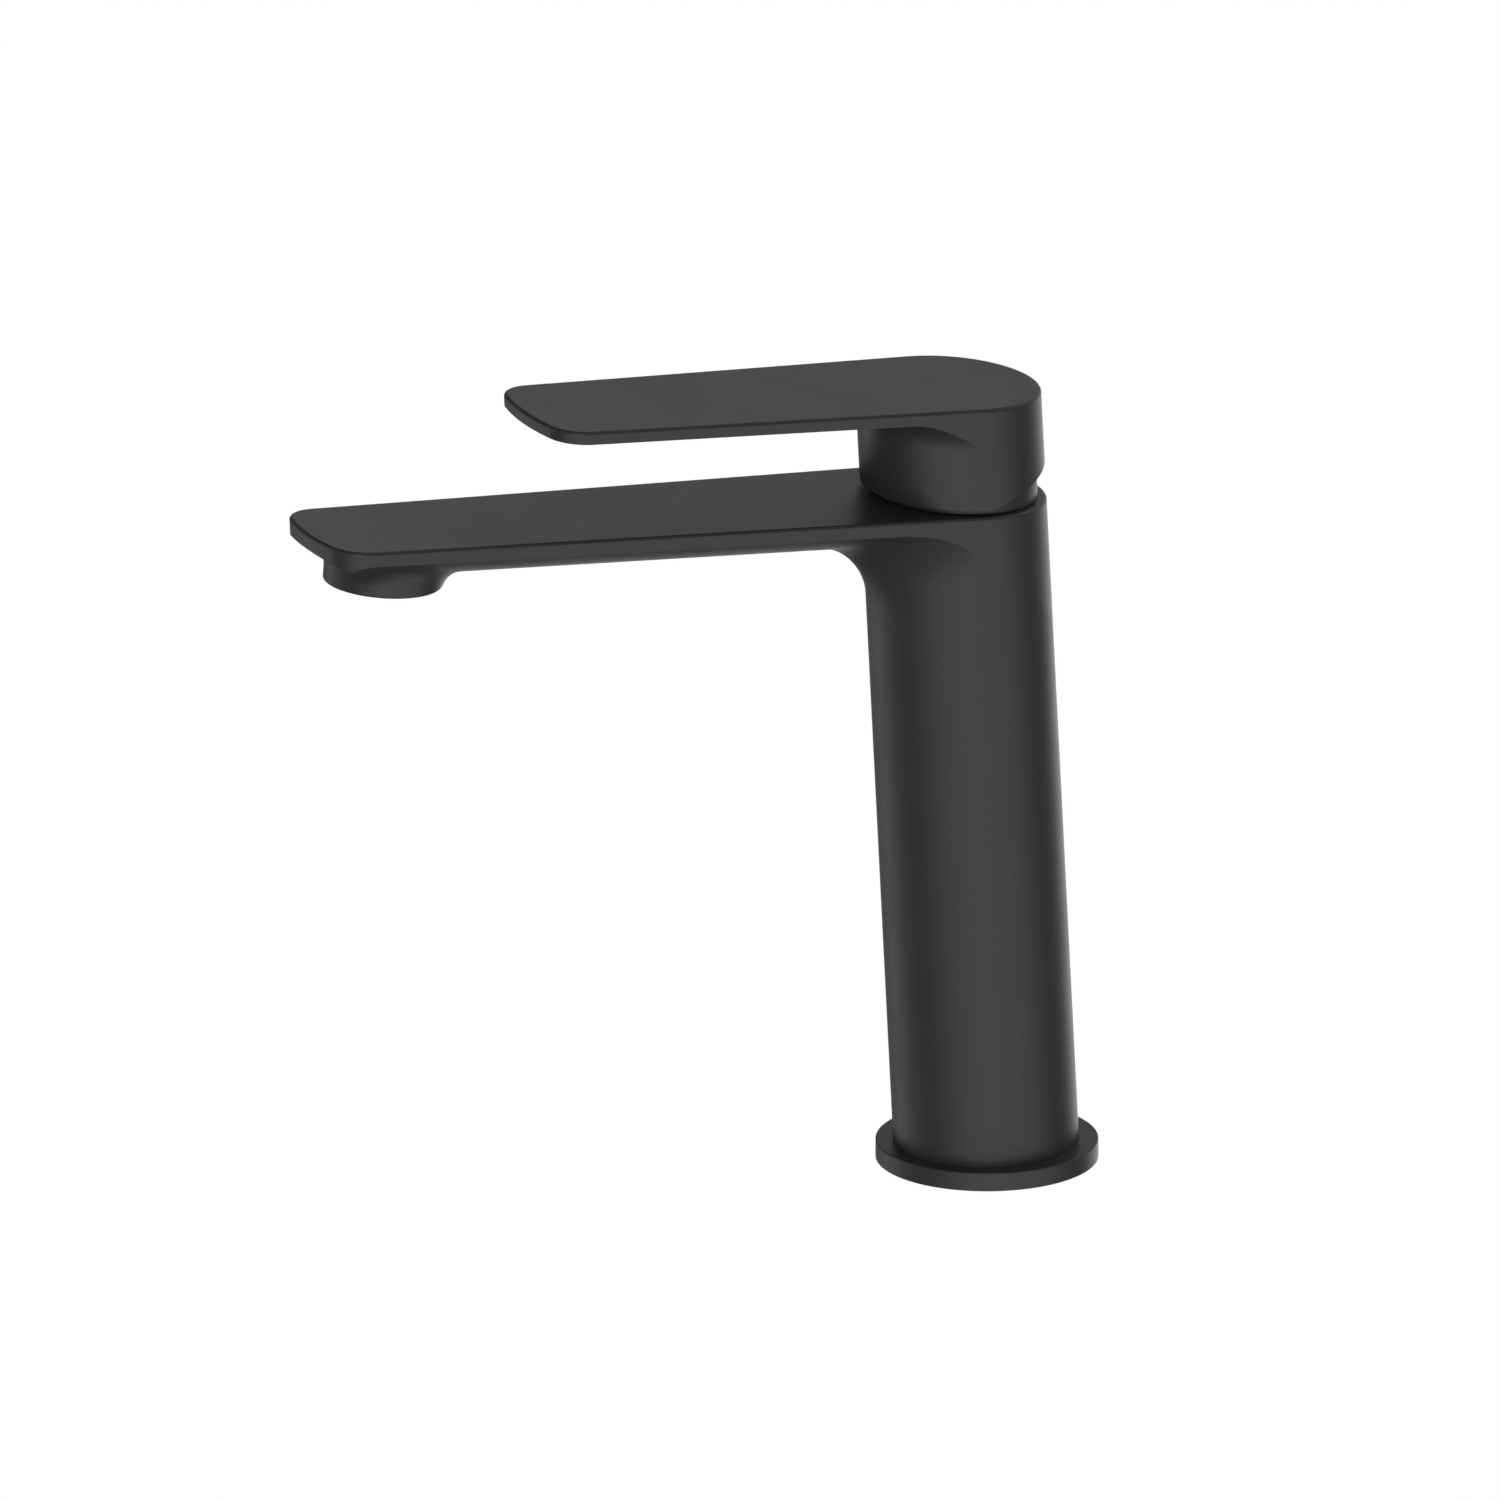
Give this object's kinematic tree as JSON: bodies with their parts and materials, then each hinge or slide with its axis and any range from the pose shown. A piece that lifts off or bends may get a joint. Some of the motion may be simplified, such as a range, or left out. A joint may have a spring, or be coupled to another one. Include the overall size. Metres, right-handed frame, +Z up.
{
  "type": "basin mixer faucet",
  "caption": "Single-lever basin mixer: leaning round column, long flat spout with aerator, flat lever that tilts for flow and turns for temperature.",
  "frame": {"origin": "centre of the column's foot, on the deck surface", "axes": "+Z up out of the deck, the spout points along -Y, +X to the right of a person facing the front of the mixer"},
  "size_m": [0.054, 0.2088, 0.2084],
  "materials": {
    "painted_brass": "matte black powder coat on cast brass",
    "painted_zinc": "matte black powder coat on cast zinc",
    "black_plug": "matte black",
    "grey_plastic": "moulded acetal, light grey",
    "white_plastic": "moulded acetal, white",
    "red_plastic": "moulded plastic, red",
    "ceramic": "lapped alumina",
    "black_rubber": "black nitrile rubber",
    "bare_brass": "machined",
    "steel": "stainless steel",
    "aerator_shell": "matte black",
    "aerator_plastic": "translucent grey moulded plastic"
  },
  "bodies": {
    "root": {"body": "painted_brass", "base_ring": "painted_brass", "base_seal": "black_rubber", "cartridge_base": "grey_plastic", "port_seals": "black_rubber", "disc_seals": "black_rubber", "cartridge_housing": "grey_plastic", "housing_seal": "black_rubber", "fixed_disc": "ceramic", "glide_ring": "white_plastic", "stop_ring": "red_plastic", "cartridge_nut": "bare_brass", "dome_cap": "painted_brass", "dome_seal": "black_rubber", "aerator_housing": "aerator_shell", "aerator_screen": "aerator_plastic", "aerator_core": "aerator_plastic", "aerator_seal": "black_rubber"},
    "turret": {"lever_carrier": "white_plastic", "pivot_pin": "steel"},
    "disc": {"moving_disc": "ceramic", "disc_carrier": "grey_plastic"},
    "lever": {"handle": "painted_zinc", "stem": "bare_brass", "stem_sleeve": "white_plastic", "handle_screw": "steel", "screw_cap": "black_plug"}
  },
  "joints": [
    {"name": "temperature", "type": "hinge", "parent": "root", "child": "turret", "pos_m": [0, -0.00899, 0.17154], "axis": [0, 0.0811, 0.9967], "range_deg": [-45, 45]},
    {"name": "flow", "type": "hinge", "parent": "turret", "child": "lever", "pos_m": [0, -0.00899, 0.17154], "axis": [-1, 0, 0], "range_deg": [0, 20]},
    {"name": "disc_travel", "type": "slide", "parent": "turret", "child": "disc", "axis": [0, -0.9967, 0.0811], "range_m": [0, 0.0031]}
  ],
  "couplings": [
    {"joint": "disc_travel", "follows": "flow", "m_per_rad": 0.00882}
  ]
}
